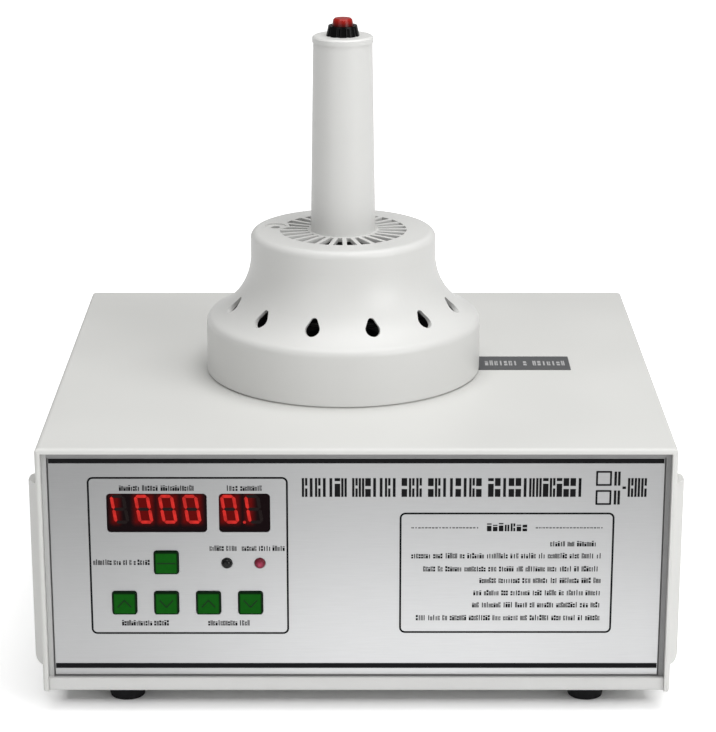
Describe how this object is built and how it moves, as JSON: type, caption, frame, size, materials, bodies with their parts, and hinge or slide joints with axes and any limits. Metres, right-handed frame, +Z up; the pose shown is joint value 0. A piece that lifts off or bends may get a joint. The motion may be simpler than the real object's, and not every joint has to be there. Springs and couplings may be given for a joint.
{
  "type": "induction cap sealer",
  "caption": "Benchtop induction cap sealer: louvred metal casing with a silver control panel, and a white bell-shaped sealing head with a tube handle standing on the lid",
  "frame": {"origin": "centre of the overall footprint, on the surface that the feet stand on", "axes": "+X to the right as seen from the front, +Y from the control panel to the rear wall, +Z up"},
  "size_m": [0.303, 0.276, 0.3031],
  "materials": {
    "casing_paint": "satin off-white powder paint",
    "frame_plastic": "white moulded plastic",
    "panel_silver": "satin silver film",
    "window_dark": "dark red tinted display window",
    "key_green": "green moulded keys",
    "lamp_dark": "unlit lamp lens",
    "lamp_red": "lit red lamp lens",
    "head_plastic": "glossy white moulding",
    "base_plate": "white base plate",
    "former_plastic": "dark heat-proof moulding",
    "trigger_red": "red push button",
    "black_plastic": "black moulded plastic",
    "rocker_black": "black rocker",
    "foot_rubber": "black rubber",
    "steel": "zinc-plated steel",
    "guard_chrome": "bright plated wire",
    "board_green": "green circuit board",
    "copper": "lacquered copper wire",
    "ferrite": "dark grey ferrite",
    "sink_aluminium": "plain extruded aluminium",
    "sleeve_blue": "dark blue shrink sleeve",
    "sleeve_yellow": "yellow film capacitor case",
    "label_grey": "grey printed film"
  },
  "bodies": {
    "root": {"base_tray": "casing_paint", "cover": "casing_paint", "front_frame": "frame_plastic", "front_panel": "panel_silver", "counter_display": "window_dark", "timer_display": "window_dark", "display_board": "board_green", "key_switches": "black_plastic", "work_lamp": "lamp_dark", "power_lamp": "lamp_red", "board_standoffs": "steel", "board_screws": "steel", "main_board": "board_green", "main_standoffs": "steel", "main_screws": "steel", "heat_sink": "sink_aluminium", "power_transistors": "black_plastic", "transformer_core": "ferrite", "transformer_winding": "copper", "filter_capacitors": "sleeve_blue", "resonant_capacitors": "sleeve_yellow", "rectifier_bridge": "black_plastic", "choke": "copper", "fan_frame": "black_plastic", "fan_guard": "guard_chrome", "fan_screws": "steel", "power_inlet": "black_plastic", "inlet_pins": "steel", "inlet_screws": "steel", "rocker_housing": "black_plastic", "fuse_holder": "black_plastic", "fuse_cap": "black_plastic", "cable_gland": "black_plastic", "gland_nut": "black_plastic", "feet": "foot_rubber", "foot_screws": "steel", "foot_nuts": "steel", "cover_screws": "steel", "lid_label": "label_grey", "head_shell": "head_plastic", "head_base": "base_plate", "coil": "copper", "coil_former": "former_plastic", "ferrite_bars": "ferrite", "slot_baffle": "former_plastic", "base_screws": "steel", "handle": "head_plastic", "handle_cap": "head_plastic", "handle_screws": "steel", "button_collar": "black_plastic", "switch_body": "former_plastic"},
    "trigger": {"trigger_button": "trigger_red"},
    "zero_key": {"zero_key": "key_green"},
    "power_up_key": {"power_up_key": "key_green"},
    "power_down_key": {"power_down_key": "key_green"},
    "time_up_key": {"time_up_key": "key_green"},
    "time_down_key": {"time_down_key": "key_green"},
    "rocker": {"rocker": "rocker_black"},
    "fan": {"fan_rotor": "black_plastic"}
  },
  "joints": [
    {"name": "trigger_press", "type": "slide", "parent": "root", "child": "trigger", "axis": [0, 0, -1], "range_m": [0, 0.003], "stiffness_N_per_m": 300, "springref_m": -0.002},
    {"name": "zero_key_press", "type": "slide", "parent": "root", "child": "zero_key", "axis": [0, 1, 0], "range_m": [0, 0.0005], "stiffness_N_per_m": 400, "springref_m": -0.0005},
    {"name": "power_up_press", "type": "slide", "parent": "root", "child": "power_up_key", "axis": [0, 1, 0], "range_m": [0, 0.0005], "stiffness_N_per_m": 400, "springref_m": -0.0005},
    {"name": "power_down_press", "type": "slide", "parent": "root", "child": "power_down_key", "axis": [0, 1, 0], "range_m": [0, 0.0005], "stiffness_N_per_m": 400, "springref_m": -0.0005},
    {"name": "time_up_press", "type": "slide", "parent": "root", "child": "time_up_key", "axis": [0, 1, 0], "range_m": [0, 0.0005], "stiffness_N_per_m": 400, "springref_m": -0.0005},
    {"name": "time_down_press", "type": "slide", "parent": "root", "child": "time_down_key", "axis": [0, 1, 0], "range_m": [0, 0.0005], "stiffness_N_per_m": 400, "springref_m": -0.0005},
    {"name": "rocker_turn", "type": "hinge", "parent": "root", "child": "rocker", "pos_m": [-0.082, 0.1208, 0.076], "axis": [1, 0, 0], "range_deg": [0, 20]},
    {"name": "fan_turn", "type": "hinge", "parent": "root", "child": "fan", "pos_m": [0.062, 0.108, 0.072], "axis": [0, 1, 0], "continuous": true}
  ]
}
